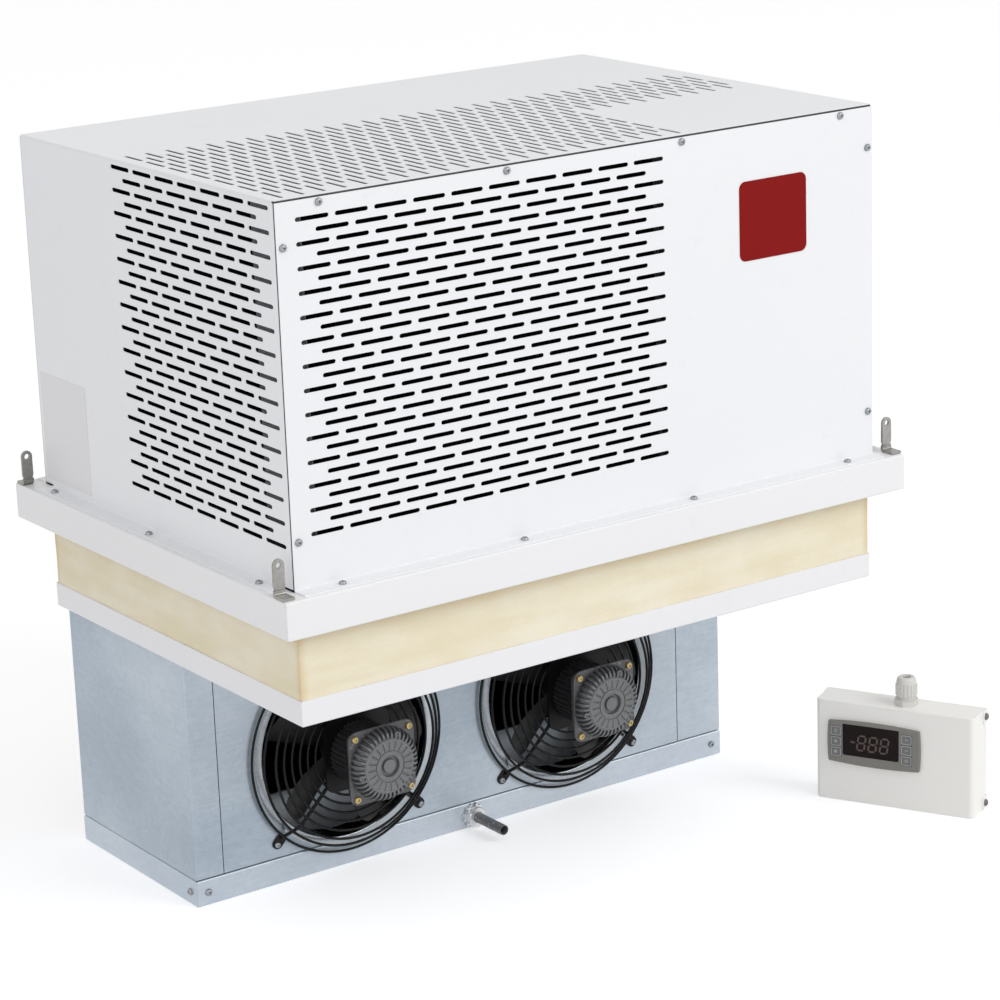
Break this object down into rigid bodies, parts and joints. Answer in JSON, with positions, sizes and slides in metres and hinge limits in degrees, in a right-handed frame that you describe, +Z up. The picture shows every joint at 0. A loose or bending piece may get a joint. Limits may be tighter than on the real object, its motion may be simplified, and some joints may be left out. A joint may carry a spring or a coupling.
{
  "type": "refrigeration unit",
  "caption": "Ceiling-mounted refrigeration unit for a cold room: slotted condensing hood, insulated plug, evaporator with guarded fans and drip tray, and a loose control box.",
  "frame": {"origin": "middle of the drip tray's underside, on the floor", "axes": "+Z up; the front grille, the fans and the drain look along -Y; +X is to the right as seen from the front"},
  "size_m": [0.8829, 0.6341, 0.812],
  "materials": {
    "white_powder_coat": "satin",
    "galvanised_sheet": "spangled",
    "zinc_plated_steel": "satin",
    "black_steel": "satin",
    "bright_steel": "polished",
    "foam": "matte",
    "copper": "dull",
    "aluminium_fins": "satin",
    "motor_steel": "satin",
    "black_rubber": "matte",
    "black_plastic": "matte",
    "grey_plastic": "matte",
    "fascia_plastic": "satin",
    "window_plastic": "gloss"
  },
  "bodies": {
    "unit": {"base_pan": "white_powder_coat", "hood_front_panel": "white_powder_coat", "hood_left_panel": "white_powder_coat", "hood_right_panel": "white_powder_coat", "hood_back_panel": "white_powder_coat", "hood_top_panel": "white_powder_coat", "plug_lower_pan": "white_powder_coat", "control_box_cover": "white_powder_coat", "control_box_base": "white_powder_coat", "casing_left": "galvanised_sheet", "casing_right": "galvanised_sheet", "casing_top": "galvanised_sheet", "fan_panel": "galvanised_sheet", "drip_tray": "galvanised_sheet", "condenser_end_plates": "galvanised_sheet", "condenser_shroud": "galvanised_sheet", "condenser_fan_bracket": "galvanised_sheet", "evaporator_end_plates": "galvanised_sheet", "panel_screws": "zinc_plated_steel", "lifting_lugs": "zinc_plated_steel", "control_screws": "zinc_plated_steel", "defrost_heaters": "zinc_plated_steel", "drain_nut": "zinc_plated_steel", "drain_gasket": "zinc_plated_steel", "fan_rings": "bright_steel", "fan_guard_left": "black_steel", "fan_guard_right": "black_steel", "compressor": "black_steel", "receiver": "black_steel", "drain_spout": "black_steel", "plug_foam": "foam", "condenser_tubes": "copper", "evaporator_tubes": "copper", "filter_drier": "copper", "liquid_line": "copper", "discharge_line": "copper", "suction_line": "copper", "condenser_fins": "aluminium_fins", "evaporator_fins": "aluminium_fins", "fan_motor_left": "motor_steel", "fan_motor_right": "motor_steel", "condenser_fan_motor": "motor_steel", "compressor_feet": "black_rubber", "mains_gland": "grey_plastic", "electrical_box": "grey_plastic", "control_gland": "grey_plastic", "controller_body": "grey_plastic", "control_fascia": "fascia_plastic", "control_display": "window_plastic"},
    "condenser_fan_wheel": {"condenser_impeller": "black_plastic"},
    "left_fan_wheel": {"fan_impeller_left": "black_plastic"},
    "right_fan_wheel": {"fan_impeller_right": "black_plastic"},
    "light_key": {"key_light": "fascia_plastic"},
    "defrost_key": {"key_defrost": "fascia_plastic"},
    "set_key": {"key_set": "fascia_plastic"},
    "up_key": {"key_up": "fascia_plastic"},
    "down_key": {"key_down": "fascia_plastic"},
    "power_key": {"key_power": "fascia_plastic"}
  },
  "joints": [
    {"name": "condenser_fan_spin", "type": "hinge", "parent": "unit", "child": "condenser_fan_wheel", "pos_m": [-0.126, -0.29, 0.629], "axis": [0, 1, 0], "continuous": true},
    {"name": "left_fan_spin", "type": "hinge", "parent": "unit", "child": "left_fan_wheel", "pos_m": [-0.165, -0.137, 0.141], "axis": [0, 1, 0], "continuous": true},
    {"name": "right_fan_spin", "type": "hinge", "parent": "unit", "child": "right_fan_wheel", "pos_m": [0.135, -0.137, 0.141], "axis": [0, 1, 0], "continuous": true},
    {"name": "light_key_press", "type": "slide", "parent": "unit", "child": "light_key", "axis": [0.8862, 0.4633, 0], "range_m": [0, 0.0006], "stiffness_N_per_m": 200},
    {"name": "defrost_key_press", "type": "slide", "parent": "unit", "child": "defrost_key", "axis": [0.8862, 0.4633, 0], "range_m": [0, 0.0006], "stiffness_N_per_m": 200},
    {"name": "set_key_press", "type": "slide", "parent": "unit", "child": "set_key", "axis": [0.8862, 0.4633, 0], "range_m": [0, 0.0006], "stiffness_N_per_m": 200},
    {"name": "up_key_press", "type": "slide", "parent": "unit", "child": "up_key", "axis": [0.8862, 0.4633, 0], "range_m": [0, 0.0006], "stiffness_N_per_m": 200},
    {"name": "down_key_press", "type": "slide", "parent": "unit", "child": "down_key", "axis": [0.8862, 0.4633, 0], "range_m": [0, 0.0006], "stiffness_N_per_m": 200},
    {"name": "power_key_press", "type": "slide", "parent": "unit", "child": "power_key", "axis": [0.8862, 0.4633, 0], "range_m": [0, 0.0006], "stiffness_N_per_m": 200}
  ]
}
